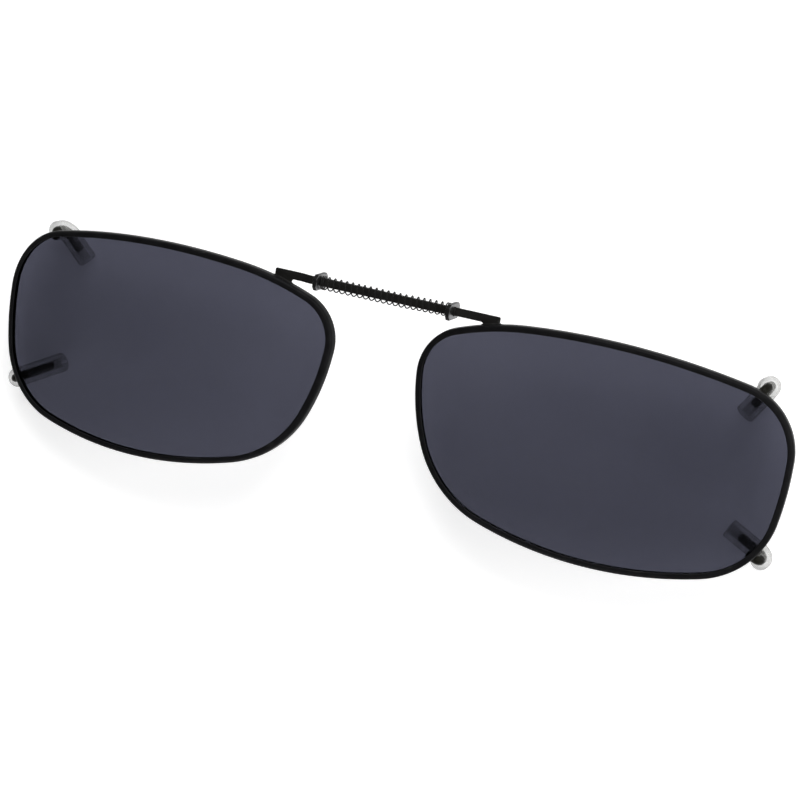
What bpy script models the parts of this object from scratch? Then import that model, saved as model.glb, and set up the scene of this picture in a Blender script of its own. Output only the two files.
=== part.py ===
"""Clip-on sunglasses: two rimmed tinted lenses joined by a spring bridge, with four wire hooks.

The pair lies on its hook sleeves with the lens fronts up. +X runs to the right-hand lens, +Y to
the top of the lenses and +Z out of their fronts. The origin is under the middle of the outline,
on the surface that the sleeves rest on. Each half is rigid. The left half slides out along -X
against the bridge spring.
"""

import math

import bmesh
import bpy
from mathutils import Matrix, Vector

MM = 0.001

# Lens outline: a closed chain of tangent arcs, counter-clockwise from the bottom edge.
# Each arc is (turn in degrees, radius in mm). Two radii follow from the chain closing.
OUTLINE_START = -17.0
OUTLINE_ARCS = (
    (29.6, 65.2),  # bottom edge
    (67.0, None),  # lower temple corner
    (11.2, 48.0),  # temple side
    (75.9, None),  # upper temple corner
    (18.8, 100.0),  # top edge, temple part
    (15.7, 41.4),  # top edge, nose part
    (72.4, 7.2),  # upper nose corner
    (19.1, 31.5),  # nose side
    (50.3, 16.4),  # lower nose corner
)
ARC_STEP_DEGREES = 8.2
ARC_STEP_LENGTH = 3.6 * MM

# Lens and rim
LENS_SPACING = 35.5 * MM  # from the middle of the bridge to a lens centre
LENS_SPHERE = 106.0 * MM
LENS_THICKNESS = 0.8 * MM
LENS_BLANK_RADIUS = 34.0 * MM
LENS_INSET = 0.22 * MM  # lens edge inside the rim's centreline
WRAP = math.radians(6.2)
RIM_WIDTH = 0.95 * MM
RIM_DEPTH = 1.64 * MM
RIM_CHAMFER = 0.2 * MM
GROOVE_WIDTH = 1.02 * MM
GROOVE_DEPTH = 0.4 * MM

# Hooks: angle of the rim's outward normal where each stands, the angle at which it points out,
# and how far its back-going part is outside the rim's centreline
HOOKS = {
    "right_upper": (math.radians(67.0), math.radians(56.0), 0.7 * MM),
    "right_lower": (math.radians(-41.0), math.radians(-27.0), 1.2 * MM),
    "left_upper": (math.radians(64.0), math.radians(43.0), 0.5 * MM),
    "left_lower": (math.radians(-36.5), math.radians(-29.0), 2.0 * MM),
}
WIRE_RADIUS = 0.65 * MM
BRAZE_GAP = 0.2 * MM
HOOK_START = 0.9 * MM  # inwards from the rim's centreline, on the rim's back
HOOK_FRONT_BEND = 0.9 * MM
HOOK_REAR_BEND = 1.9 * MM
WIRE_REACH = 3.7 * MM  # wire end, inwards from the rim's centreline
SLEEVE_REACH = 5.6 * MM
SLEEVE_RADIUS = 1.5 * MM
SLEEVE_BORE = 0.72 * MM
SLEEVE_SIDES = 12
SLEEVE_GAP = 0.05 * MM  # behind the wire's front bend
GRIP_START = 1.6 * MM  # where the leg's flat facets begin, clear of the wire's start above them

# Bridge: two flat bars, one in front of the other, in a spring between two keeper plates
BRIDGE_HEIGHT = 16.0 * MM  # from the lens centres
BRIDGE_DEPTH = 0.8 * MM  # behind the lens crowns, level with the rims where the feet meet them
BRIDGE_SHIFT = 0.25 * MM  # the bars' middle from the middle between the lenses
BAR_HEIGHT = 1.24 * MM
BAR_THICKNESS = 0.33 * MM
BAR_GAP = 0.06 * MM
FOOT_ANGLES = {
    "right": (math.radians(102.0), math.radians(105.5)),
    "left": (math.radians(102.8), math.radians(106.7)),
}
FOOT_GAP = 0.06 * MM
FOOT_FILLET = 0.35 * MM
FOOT_CHAMFER = 0.2 * MM
JOG_START = 13.7 * MM
JOG_END = 11.6 * MM
KEEPER_PLACE = 10.6 * MM
KEEPER_THICKNESS = 0.6 * MM
KEEPER_HEIGHT = 2.4 * MM
KEEPER_DEPTH = 4.4 * MM
KEEPER_CHAMFER = 0.6 * MM
KEEPER_PLAY = 0.06 * MM
BAR_OVERRUN = 0.15 * MM  # bar end past its own keeper

# Spring
SPRING_RADIUS = 1.07 * MM
SPRING_WIRE = 0.1 * MM
SPRING_PITCH = 0.95 * MM
SPRING_END_TURNS = 1.5
SPRING_END_PITCH = 0.28 * MM
SPRING_END_GAP = 0.1 * MM
SPRING_SKEW = (-0.1 * MM, 0.1 * MM)  # height of its left and right ends from the bars' middle
SPRING_LOW_SHARE = 0.65  # of its length, from the left, that hangs low
SPRING_STEPS = 10

HOOK_DEPTH = 11.5 * MM  # from the lens crowns back to the middle of the hooks' inward legs


def tangent_arcs():
    """The outline's arcs as (start heading, end heading, radius, start point), about its middle."""
    headings = [math.radians(OUTLINE_START)]
    for turn, _ in OUTLINE_ARCS:
        headings.append(headings[-1] + math.radians(turn))
    unit = []
    for a, b in zip(headings, headings[1:]):
        unit.append(Vector((math.sin(b) - math.sin(a), math.cos(a) - math.cos(b))))
    radii = [None if r is None else r * MM for _, r in OUTLINE_ARCS]
    first, second = [i for i, r in enumerate(radii) if r is None]
    rest = Vector((0, 0))
    for step, radius in zip(unit, radii):
        if radius is not None:
            rest += step * radius
    solve = Matrix(((unit[first].x, unit[second].x), (unit[first].y, unit[second].y))).inverted()
    radii[first], radii[second] = solve @ -rest
    arcs = []
    point = Vector((0, 0))
    for a, b, step, radius in zip(headings, headings[1:], unit, radii):
        arcs.append((a, b, radius, point.copy()))
        point += step * radius
    return arcs


def arc_point(arc, heading):
    """A point on an arc and the outward normal there."""
    start, _, radius, origin = arc
    reach = Vector((math.sin(heading) - math.sin(start), math.cos(start) - math.cos(heading)))
    return origin + reach * radius, Vector((math.sin(heading), -math.cos(heading)))


def outline_samples():
    """Evenly stepped (point, normal) pairs once round the outline, about its middle."""
    samples = []
    for arc in tangent_arcs():
        start, end, radius, _ = arc
        turn = end - start
        steps = max(
            math.ceil(math.degrees(turn) / ARC_STEP_DEGREES),
            math.ceil(turn * radius / ARC_STEP_LENGTH),
        )
        for k in range(steps):
            samples.append(arc_point(arc, start + turn * k / steps))
    return samples


def outline_middle():
    """The middle of the outline's box, from the four points where a normal lies along an axis."""
    right = rim_point(0.0)[0].x
    top = rim_point(math.pi / 2)[0].y
    left = rim_point(math.pi)[0].x
    bottom = rim_point(-math.pi / 2)[0].y
    return Vector(((left + right) / 2, (bottom + top) / 2))


def rim_point(normal_angle):
    """The rim centreline's point whose outward normal has this angle, and that normal."""
    arcs = tangent_arcs()
    heading = normal_angle + math.pi / 2
    while heading < arcs[0][0]:
        heading += 2 * math.pi
    while heading > arcs[-1][1]:
        heading -= 2 * math.pi
    arc = next(a for a in arcs if a[0] <= heading <= a[1])
    return arc_point(arc, heading)


MIDDLE = outline_middle()
RIM_TOP = rim_point(math.pi / 2)[0].y - MIDDLE.y
OBJECT_TOP = BRIDGE_HEIGHT + KEEPER_HEIGHT / 2
OBJECT_BOTTOM = -RIM_TOP - RIM_WIDTH / 2
LENS_Y = -(OBJECT_TOP + OBJECT_BOTTOM) / 2


def sag(x, y):
    """How far the lens surface has dropped back from its crown at a point of the lens."""
    return LENS_SPHERE - math.sqrt(LENS_SPHERE**2 - x * x - y * y)


def on_half(x, y):
    """A point of the lens surface in the half's frame, before the lenses are raised."""
    wrapped = Matrix.Rotation(WRAP, 3, "Y") @ Vector((x, y, -sag(x, y)))
    return wrapped + Vector((LENS_SPACING, LENS_Y, 0))


SLEEVE_FLAT = SLEEVE_RADIUS * math.cos(math.pi / SLEEVE_SIDES)
LENS_Z = HOOK_DEPTH + SLEEVE_FLAT
BRIDGE_Y = LENS_Y + BRIDGE_HEIGHT
BRIDGE_Z = LENS_Z - BRIDGE_DEPTH


def clear_scene():
    """Empties the file, so that the script gives the same model each time."""
    for item in list(bpy.data.objects):
        bpy.data.objects.remove(item, do_unlink=True)
    for group in list(bpy.data.collections):
        bpy.data.collections.remove(group)


def new_collection(name):
    group = bpy.data.collections.new(name)
    bpy.context.scene.collection.children.link(group)
    return group


def material(name, colour, roughness, metallic=0.0, alpha=1.0):
    """A Principled material."""
    mat = bpy.data.materials.new(name)
    mat.use_nodes = True
    shader = mat.node_tree.nodes["Principled BSDF"]
    shader.inputs["Base Color"].default_value = (*colour, 1.0)
    shader.inputs["Roughness"].default_value = roughness
    shader.inputs["Metallic"].default_value = metallic
    shader.inputs["Alpha"].default_value = alpha
    return mat


def curve_object(name, splines, dimensions="3D"):
    """A curve object of POLY splines. Each spline is (points, closed)."""
    data = bpy.data.curves.new(name, "CURVE")
    data.dimensions = dimensions
    data.twist_mode = "MINIMUM" if dimensions == "3D" else "Z_UP"
    for points, closed in splines:
        spline = data.splines.new("POLY")
        spline.points.add(len(points) - 1)
        for slot, point in zip(spline.points, points):
            slot.co = (*point, *([0.0] * (3 - len(point))), 1.0)
        spline.use_cyclic_u = closed
    item = bpy.data.objects.new(name, data)
    bpy.context.scene.collection.objects.link(item)
    return item


def to_mesh(item):
    """Replaces a curve object by its evaluated mesh, with loose caps welded."""
    graph = bpy.context.evaluated_depsgraph_get()
    data = bpy.data.meshes.new_from_object(item.evaluated_get(graph))
    data.name = item.name
    shape = bmesh.new()
    shape.from_mesh(data)
    bmesh.ops.remove_doubles(shape, verts=shape.verts, dist=0.001 * MM)
    bmesh.ops.recalc_face_normals(shape, faces=shape.faces)
    shape.to_mesh(data)
    shape.free()
    name = item.name
    matrix = item.matrix_world.copy()
    bpy.data.objects.remove(item)
    solid = bpy.data.objects.new(name, data)
    solid.matrix_world = matrix
    return solid


def plate(name, splines, thickness):
    """A flat plate from closed outlines in XY, centred on its thickness."""
    item = curve_object(name, [(points, True) for points in splines], "2D")
    item.data.fill_mode = "BOTH"
    item.data.extrude = thickness / 2
    return to_mesh(item)


def wire(name, points, radius, sides=8, closed_ends=True):
    """A round wire along points, or an open tube. A facet of it faces straight up and down."""
    item = curve_object(name, [(points, False)])
    item.data.bevel_depth = radius
    item.data.bevel_resolution = (sides - 4) // 2
    item.data.use_fill_caps = closed_ends
    for point in item.data.splines[0].points:
        point.tilt = math.pi / sides
    return to_mesh(item)


def rounded_path(corners, radii, step=math.radians(15)):
    """A polyline with an arc of the given radius at each inner corner."""
    path = [Vector(corners[0])]
    for before, corner, after, radius in zip(corners, corners[1:], corners[2:], radii):
        corner = Vector(corner)
        back = (Vector(before) - corner).normalized()
        ahead = (Vector(after) - corner).normalized()
        bend = math.pi - back.angle(ahead)
        setback = radius * math.tan(bend / 2)
        centre = corner + (back + ahead).normalized() * (radius / math.cos(bend / 2))
        start = corner + back * setback - centre
        across = -back
        count = math.ceil(bend / step)
        for k in range(count + 1):
            angle = bend * k / count
            path.append(centre + start * math.cos(angle) + across * radius * math.sin(angle))
    path.append(Vector(corners[-1]))
    return path


def place(item, group, parent, location, rotation=(0, 0, 0)):
    """Puts an object at a place in the object's frame, under a parent empty."""
    group.objects.link(item)
    item.parent = parent
    item.location = Vector(location) - parent.location
    item.rotation_euler = rotation


def finish(item, mat, smooth_angle=40):
    item.data.materials.clear()
    item.data.materials.append(mat)
    item.data.shade_smooth()
    item.data.set_sharp_from_angle(angle=math.radians(smooth_angle))


def mirror_mesh(item):
    """Turns a right-hand mesh into a left-hand one."""
    item.data.transform(Matrix.Scale(-1, 4, (1, 0, 0)))
    item.data.flip_normals()


def rim_section():
    """Channel section with chamfered corners: x points into the lens, y to the front."""
    wide = RIM_WIDTH / 2
    deep = RIM_DEPTH / 2
    cut = RIM_CHAMFER
    mouth = GROOVE_WIDTH / 2
    upper = [
        (-wide, deep - cut),
        (cut - wide, deep),
        (wide - cut, deep),
        (wide, deep - cut),
        (wide, mouth),
        (wide - GROOVE_DEPTH, mouth),
    ]
    lower = [(x, -y) for x, y in reversed(upper)]
    return upper + lower


def make_rim(side):
    """The closed eyewire: a channel section swept round the outline, then curved like the lens."""
    points = [p - MIDDLE for p, _ in outline_samples()]
    section = curve_object("rim_section", [(rim_section(), True)], "2D")
    sweep = curve_object(f"{side}_rim", [(points, True)], "2D")
    sweep.data.fill_mode = "NONE"
    sweep.data.bevel_mode = "OBJECT"
    sweep.data.bevel_object = section
    rim = to_mesh(sweep)
    bpy.data.objects.remove(section)
    for vertex in rim.data.vertices:
        vertex.co.z -= sag(vertex.co.x, vertex.co.y)
    return rim


def make_lens(side, cutters):
    """A lens edged from a turned blank: two concentric spherical faces cut to the outline."""
    half = LENS_THICKNESS / 2
    rings = 10
    blank = bpy.data.meshes.new(f"{side}_lens")
    shape = bmesh.new()
    reach = [LENS_BLANK_RADIUS * k / rings for k in range(rings + 1)]
    front = [shape.verts.new((r, 0, half - sag(r, 0))) for r in reach]
    back = [shape.verts.new((r, 0, -half - sag(r, 0))) for r in reversed(reach)]
    profile = front + back
    for a, b in zip(profile, profile[1:]):
        shape.edges.new((a, b))
    shape.to_mesh(blank)
    shape.free()
    lens = bpy.data.objects.new(f"{side}_lens", blank)
    turn = lens.modifiers.new("turned", "SCREW")
    turn.axis = "Z"
    turn.steps = 48
    turn.render_steps = 48
    turn.use_merge_vertices = True
    turn.merge_threshold = 0.00001
    edge = [p - MIDDLE - n * LENS_INSET for p, n in outline_samples()]
    cutter = plate(f"{side}_lens_edge", [edge], 20 * MM)
    cutter.hide_render = True
    cutter.display_type = "WIRE"
    cutters.objects.link(cutter)
    cut = lens.modifiers.new("edged", "BOOLEAN")
    cut.operation = "INTERSECT"
    cut.solver = "EXACT"
    cut.object = cutter
    return lens, cutter


def hook_corners(rise, depth, reach):
    """Corners of a hook, in its own frame: out over the rim's back, backwards, then inwards."""
    drop = RIM_DEPTH / 2 + BRAZE_GAP + WIRE_RADIUS
    return [(-HOOK_START, 0, -drop), (rise, 0, -drop), (rise, 0, -depth), (-reach, 0, -depth)]


def make_hook(name, rise, depth):
    """A bent wire that starts on the rim's back."""
    path = rounded_path(hook_corners(rise, depth, WIRE_REACH), (HOOK_FRONT_BEND, HOOK_REAR_BEND))
    return wire(f"{name}_hook", path, WIRE_RADIUS)


def make_sleeve(name, rise, depth):
    """A soft tube over the hook, from behind its front bend to past its end."""
    corners = hook_corners(rise, depth, SLEEVE_REACH)[1:]
    corners[0] = (rise, 0, corners[0][2] - HOOK_FRONT_BEND - SLEEVE_GAP)
    path = rounded_path(corners, (HOOK_REAR_BEND,))
    path.insert(-1, Vector((-GRIP_START, 0, -depth)))
    sleeve = wire(f"{name}_sleeve", path, SLEEVE_RADIUS, SLEEVE_SIDES, closed_ends=False)
    wall = sleeve.modifiers.new("wall", "SOLIDIFY")
    wall.thickness = SLEEVE_RADIUS - SLEEVE_BORE
    wall.offset = -1
    wall.use_even_offset = True
    return sleeve


def make_bar(side):
    """A flat strip from beyond its keeper to its foot on the rim, in one outline."""
    low = -BAR_HEIGHT / 2
    high = BAR_HEIGHT / 2
    shift = BRIDGE_SHIFT if side == "right" else -BRIDGE_SHIFT
    free_end = shift - KEEPER_PLACE - KEEPER_THICKNESS / 2 - BAR_OVERRUN
    furthest, nearest = FOOT_ANGLES[side]
    seat = []
    steps = 3
    for k in range(steps + 1):
        angle = nearest + (furthest - nearest) * k / steps
        point, normal = rim_point(angle)
        point = on_half(*(point - MIDDLE + normal * (RIM_WIDTH / 2 + FOOT_GAP)))
        seat.append((point.x, point.y - BRIDGE_Y, 0))
    inner = (seat[0][0], low, 0)
    fillet = rounded_path([(free_end, low, 0), inner, seat[0]], (FOOT_FILLET,))[1:-1]
    outer = seat[-1][0]
    end = [(outer, high - FOOT_CHAMFER, 0), (outer - FOOT_CHAMFER, high, 0)]
    outline = [(free_end, high, 0), (free_end, low, 0), *fillet, *seat, *end]
    return plate(f"{side}_bridge_bar", [outline], BAR_THICKNESS)


def jog(item, step):
    """Steps the strip forward between the foot and the keeper."""
    shape = bmesh.new()
    shape.from_mesh(item.data)
    for cut in (JOG_END, JOG_START):
        everything = [*shape.verts, *shape.edges, *shape.faces]
        bmesh.ops.bisect_plane(shape, geom=everything, plane_co=(cut, 0, 0), plane_no=(1, 0, 0))
    for vertex in shape.verts:
        along = min(max((JOG_START - vertex.co.x) / (JOG_START - JOG_END), 0), 1)
        vertex.co.z += step * along
    shape.to_mesh(item.data)
    shape.free()


def chamfered_box(width, height, chamfer):
    """Corners of a rectangle about the origin with its corners cut."""
    x = width / 2
    y = height / 2
    quarter = [(x, y - chamfer), (x - chamfer, y)]
    half = quarter + [(-a, b) for a, b in reversed(quarter)]
    return half + [(-a, -b) for a, b in half]


def make_keeper(side):
    """A plate across the bars with a window that both pass through."""
    window = BAR_HEIGHT + 2 * KEEPER_PLAY, 2 * BAR_THICKNESS + BAR_GAP + 2 * KEEPER_PLAY
    outer = chamfered_box(KEEPER_HEIGHT, KEEPER_DEPTH, KEEPER_CHAMFER)
    inner = [(x * window[0] / 2, y * window[1] / 2) for x, y in ((1, 1), (-1, 1), (-1, -1), (1, -1))]
    return plate(f"{side}_bar_keeper", [outer, inner], KEEPER_THICKNESS)


def make_spring():
    """A compression spring along X with closed end turns, hanging low on the bars and rising at its right end."""
    half = KEEPER_PLACE - KEEPER_THICKNESS / 2 - SPRING_END_GAP - SPRING_WIRE
    ends = SPRING_END_TURNS * SPRING_END_PITCH
    open_turns = 2 * (half - ends) / SPRING_PITCH
    turns = 2 * SPRING_END_TURNS + open_turns
    radius = SPRING_RADIUS - SPRING_WIRE
    count = round(turns * SPRING_STEPS)
    points = []
    for k in range(count + 1):
        turn = turns * k / count
        closed = min(turn, SPRING_END_TURNS) + max(turn - SPRING_END_TURNS - open_turns, 0)
        x = -half + closed * SPRING_END_PITCH + (turn - closed) * SPRING_PITCH
        share = (x + half) / (2 * half)
        rise = max(share - SPRING_LOW_SHARE, 0) / (1 - SPRING_LOW_SHARE)
        lift = SPRING_SKEW[0] + (SPRING_SKEW[1] - SPRING_SKEW[0]) * rise
        angle = 2 * math.pi * turn
        points.append((x, lift + radius * math.cos(angle), radius * math.sin(angle)))
    return wire("bridge_spring", points, SPRING_WIRE)


def build_half(side, group, cutters, paints):
    """All the rigid pieces of one half, under an empty on the line that the halves slide along."""
    sign = 1 if side == "right" else -1
    half = bpy.data.objects.new(f"{side}_half", None)
    half.location = (0, BRIDGE_Y, BRIDGE_Z)
    group.objects.link(half)

    lens_place = Vector((sign * LENS_SPACING, LENS_Y, LENS_Z))
    lens_turn = (0, sign * WRAP, 0)
    rim = make_rim(side)
    lens, edge = make_lens(side, cutters)
    if side == "left":
        mirror_mesh(rim)
        mirror_mesh(edge)
    place(rim, group, half, lens_place, lens_turn)
    place(lens, group, half, lens_place, lens_turn)
    edge.location = lens_place
    edge.rotation_euler = lens_turn
    finish(rim, paints["rim"])
    finish(lens, paints["lens"])

    for name in (f"{side}_upper", f"{side}_lower"):
        rim_angle, out_angle, rise = HOOKS[name]
        base = on_half(*(rim_point(rim_angle)[0] - MIDDLE)) + Vector((0, 0, LENS_Z))
        depth = base.z - SLEEVE_FLAT
        base.x *= sign
        turn = (0, 0, out_angle if side == "right" else math.pi - out_angle)
        hook = make_hook(name, rise, depth)
        sleeve = make_sleeve(name, rise, depth)
        place(hook, group, half, base, turn)
        place(sleeve, group, half, base, turn)
        finish(hook, paints["hook"])
        finish(sleeve, paints["sleeve"])

    pitch = BAR_THICKNESS + BAR_GAP
    bar = make_bar(side)
    if side == "left":
        jog(bar, pitch)
        mirror_mesh(bar)
    place(bar, group, half, (0, BRIDGE_Y, BRIDGE_Z - pitch / 2))
    finish(bar, paints["bar"], 20)
    keeper = make_keeper(side)
    keeper_place = (BRIDGE_SHIFT - sign * KEEPER_PLACE, BRIDGE_Y, BRIDGE_Z)
    place(keeper, group, half, keeper_place, (math.pi / 2, 0, math.pi / 2))
    finish(keeper, paints["keeper"], 20)
    return half


def build():
    clear_scene()
    group = new_collection("clip_on_sunglasses")
    cutters = new_collection("cutters")
    paints = {
        "rim": material("black_lacquer", (0.012, 0.012, 0.013), 0.22),
        "hook": material("hook_lacquer", (0.014, 0.013, 0.012), 0.3),
        "bar": material("bar_lacquer", (0.012, 0.012, 0.013), 0.3),
        "lens": material("smoke_tint", (0.035, 0.036, 0.045), 0.04, alpha=0.9),
        "sleeve": material("clear_vinyl", (0.72, 0.72, 0.68), 0.25, alpha=0.45),
        "keeper": material("nickel", (0.42, 0.42, 0.43), 0.28, metallic=1.0),
        "spring": material("spring_steel", (0.16, 0.16, 0.17), 0.35, metallic=1.0),
    }
    halves = {side: build_half(side, group, cutters, paints) for side in ("right", "left")}
    spring = make_spring()
    place(spring, group, halves["right"], (BRIDGE_SHIFT, BRIDGE_Y, BRIDGE_Z))
    finish(spring, paints["spring"])


build()
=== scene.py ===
"""The looks of a pair of clip-on sunglasses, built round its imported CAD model.

The pair lies on its hook sleeves on a pale floor, lens fronts up. Every CAD node is replaced by a
finely made piece in the same place: lacquered eyewires, smoke-tinted lenses, brazed wire hooks in
clear vinyl sleeves, and a bridge of two flat bars in a spring between two plates. The pieces of both
halves are made on the right-hand side of the object's frame, and those of the left half are then
mirrored. Only the two plates and the spring are made where they belong.
"""

import math

import bmesh
import bpy
from mathutils import Matrix, Vector


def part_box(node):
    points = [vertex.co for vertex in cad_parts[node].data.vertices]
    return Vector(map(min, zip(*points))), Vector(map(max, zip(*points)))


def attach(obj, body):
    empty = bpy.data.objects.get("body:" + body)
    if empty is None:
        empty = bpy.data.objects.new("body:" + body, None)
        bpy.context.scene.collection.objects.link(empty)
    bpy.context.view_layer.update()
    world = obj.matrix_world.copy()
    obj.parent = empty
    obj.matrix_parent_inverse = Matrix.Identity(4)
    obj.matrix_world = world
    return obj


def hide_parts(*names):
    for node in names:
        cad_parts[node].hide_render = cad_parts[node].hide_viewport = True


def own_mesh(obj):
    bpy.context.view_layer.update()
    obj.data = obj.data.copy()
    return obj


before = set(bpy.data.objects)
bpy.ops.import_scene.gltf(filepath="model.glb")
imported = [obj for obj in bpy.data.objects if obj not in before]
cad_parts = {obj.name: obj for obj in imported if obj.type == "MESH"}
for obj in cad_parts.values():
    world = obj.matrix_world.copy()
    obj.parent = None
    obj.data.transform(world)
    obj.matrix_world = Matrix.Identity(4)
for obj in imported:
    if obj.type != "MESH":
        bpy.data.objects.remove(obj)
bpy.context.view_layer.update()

MM = 0.001
SIDES = ("right", "left")
SHARP_ANGLE = math.radians(35)  # between faces whose common edge stays sharp
CORNER_STEP = math.radians(15)  # turn between the points of a small rounded corner
EDGE_STEPS = 4  # across the rounded edge of a plate

# Lens outline: a closed chain of tangent arcs, counter-clockwise from the bottom edge.
# Each arc is (turn in degrees, radius in mm). Two radii follow from the chain closing.
OUTLINE_START = -17.0  # heading at the chain's start, in degrees
OUTLINE_ARCS = (
    (29.6, 65.2),  # bottom edge
    (67.0, None),  # lower temple corner
    (11.2, 48.0),  # temple side
    (75.9, None),  # upper temple corner
    (18.8, 100.0),  # top edge, temple part
    (15.7, 41.4),  # top edge, nose part
    (72.4, 7.2),  # upper nose corner
    (19.1, 31.5),  # nose side
    (50.3, 16.4),  # lower nose corner
)
ARC_STEP = math.radians(1.6)
ARC_STEP_LENGTH = 0.7 * MM

# Lens and rim
LENS_SPACING = 35.5 * MM
LENS_SPHERE = 106.0 * MM
LENS_THICKNESS = 0.8 * MM
LENS_INSET = 0.22 * MM
LENS_BEVEL = 0.14 * MM
LENS_RINGS = 24
WRAP = math.radians(6.2)
RIM_WIDTH = 0.95 * MM
RIM_DEPTH = 1.64 * MM
RIM_ROUND = 0.16 * MM
RIM_OUTER_ROUND = 0.4 * MM
GROOVE_WIDTH = 1.02 * MM
GROOVE_DEPTH = 0.4 * MM
GROOVE_ROUND = 0.05 * MM
SECTION_STEP = math.radians(20)

# Hooks: angle of the rim's outward normal where each stands, the angle at which it points out,
# and how far its back-going part is outside the rim's centreline
HOOKS = {
    "right_upper": (math.radians(67.0), math.radians(56.0), 0.7 * MM),
    "right_lower": (math.radians(-41.0), math.radians(-27.0), 1.2 * MM),
    "left_upper": (math.radians(64.0), math.radians(43.0), 0.5 * MM),
    "left_lower": (math.radians(-36.5), math.radians(-29.0), 2.0 * MM),
}
WIRE_RADIUS = 0.65 * MM
WIRE_SIDES = 28
WIRE_DOME = 0.4 * MM
WIRE_BEND_STEP = math.radians(5)
HOOK_DROP = RIM_DEPTH / 2 + 0.2 * MM + WIRE_RADIUS  # from the rim's middle back to the wire's
BRAZE_WIDE = 0.34 * MM
BRAZE_LONG = 0.95 * MM
BRAZE_NARROW = 0.5 * MM
BRAZE_SINK = 0.1 * MM
BRAZE_LEVELS = 8
HOOK_START = 0.9 * MM
HOOK_FRONT_BEND = 0.9 * MM
HOOK_REAR_BEND = 1.9 * MM
WIRE_REACH = 3.7 * MM
SLEEVE_REACH = 5.6 * MM
SLEEVE_RADIUS = 1.5 * MM
SLEEVE_BORE = 0.72 * MM
CAD_SLEEVE_SIDES = 12
SLEEVE_FLAT = SLEEVE_RADIUS * math.cos(math.pi / CAD_SLEEVE_SIDES)  # from its middle to the floor
SLEEVE_GAP = 0.05 * MM
SLEEVE_LIP = 0.16 * MM
SLEEVE_SIDES = 40
SLEEVE_STEP = 0.35 * MM
SLEEVE_BEND_STEP = math.radians(3)
WRINKLE_DEPTH = 0.035 * MM
WRINKLES = 5

# Bridge
BRIDGE_DEPTH = 0.8 * MM  # behind the crowns of the lenses
BAR_HEIGHT = 1.24 * MM
BAR_THICKNESS = 0.33 * MM
BAR_GAP = 0.06 * MM
BAR_PITCH = BAR_THICKNESS + BAR_GAP
BAR_ROUND = 0.07 * MM
BAR_TIP = 0.2 * BAR_HEIGHT  # radius of the corners at its free end
BAR_OVERRUN = 0.15 * MM
FOOT_ANGLES = {
    "right": (math.radians(102.0), math.radians(105.5)),
    "left": (math.radians(102.8), math.radians(106.7)),
}
FOOT_STEPS = 4
FOOT_FILLET = 0.35 * MM
FILLET_STEP = math.radians(12)
FOOT_ROUND = 0.2 * MM
FOOT_SINK = 0.06 * MM  # into the rim's side
WELD_WIDE = 0.24 * MM
WELD_HIGH = 0.27 * MM
WELD_OVERRUN = math.radians(0.45)  # past the foot at either end, as turn of the rim
WELD_STEPS = 12
WELD_SIDES = 16
WELD_TIP = 0.02  # least square of the bead's swell, so that it doesn't end in a point
JOG_START = 13.7 * MM  # the left bar's S-bend, from the middle of the pair
JOG_END = 11.6 * MM
JOG_CUTS = 12
KEEPER_CHAMFER = 0.6 * MM
KEEPER_ROUND = 0.08 * MM
KEEPER_SOFT = 0.18 * MM
WINDOW_ROUND = 0.1 * MM
KEEPER_PLAY = 0.06 * MM
ACROSS_X = Matrix(((0, 0, 1, 0), (1, 0, 0, 0), (0, 1, 0, 0), (0, 0, 0, 1)))  # x, y, z to Y, Z, X

# Spring
SPRING_RADIUS = 1.07 * MM
SPRING_WIRE = 0.1 * MM  # radius of the wire
SPRING_DOME = 0.6 * SPRING_WIRE
SPRING_DOME_STEPS = 3
SPRING_PITCH = 0.95 * MM
SPRING_END_TURNS = 1.5
SPRING_END_PITCH = 0.28 * MM
SPRING_SKEW = (-0.1 * MM, 0.1 * MM)  # height of its -X and +X ends from the bars' middle
SPRING_LOW_SHARE = 0.65  # of its length, from its -X end, that hangs low
SPRING_STEPS = 26
SPRING_SIDES = 12

# Camera, from the middle between the lens crowns
CAMERA_TURN = math.radians(20.14)
CAMERA_LIFT = math.radians(12.32)
CAMERA_ROLL = math.radians(8.77)
CAMERA_DISTANCE = 504.8 * MM
CAMERA_ASIDE = 5.2 * MM
CAMERA_ABOVE = 1.47 * MM
CAMERA_LENS = 154.8  # in mm, as is the width of the sensor
CAMERA_SENSOR = 36
CAMERA_CLIP = 10 * MM

# Looks. The two tones of a surface are mixed in patches, whose size is given in metres, and its
# roughness varies between two values
LACQUERS = {  # two tones, and that of rubbed edges, which is partly a painted highlight
    "black_lacquer": ((0.0045, 0.0045, 0.005), (0.0075, 0.0075, 0.0082), (0.018, 0.018, 0.018)),
    "bar_lacquer": ((0.0105, 0.0102, 0.0098), (0.0145, 0.014, 0.0135), (0.03, 0.03, 0.03)),
    "hook_lacquer": ((0.004, 0.0038, 0.0024), (0.008, 0.0076, 0.005), (0.03, 0.03, 0.03)),
}
LACQUER_ROUGHNESS = (0.36, 0.48)
LACQUER_GLOSS = 0.05
MOTTLE_SIZE = 1.6 * MM
SMUDGE_SIZE = 2.4 * MM
PEEL_SIZE = 0.12 * MM
PEEL_DEPTH = 0.0012 * MM
EDGE_WEAR_AND_HIGHLIGHT = (0.52, 0.6)  # pointedness at which the lighter edge, partly rubbed paint and partly painted highlight, starts and is full
EDGE_WEAR_AND_HIGHLIGHT_SIZE = 0.5 * MM
RUBBED_ROUGHNESS = 0.2  # added where the paint is rubbed
LENS_TINTS = ((0.070, 0.0720, 0.098), (0.0675, 0.0695, 0.0955))  # what a lens lets through
LENS_ROUGHNESS = (0.0, 0.05)
LENS_IOR = 1.5
CLOUD_SIZE = 14 * MM
SMEAR_SIZE = 5 * MM
WAVE_SIZE = 9 * MM
WAVE_DEPTH = 0.002 * MM
VINYL_TONES = ((0.25, 0.25, 0.235), (0.32, 0.32, 0.305))
VINYL_ALPHA = (0.24, 0.28)  # how solid the tube's wall is, in its clear and its hazy patches
VINYL_EDGE_ALPHA = 0.6  # added at its outline
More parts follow.
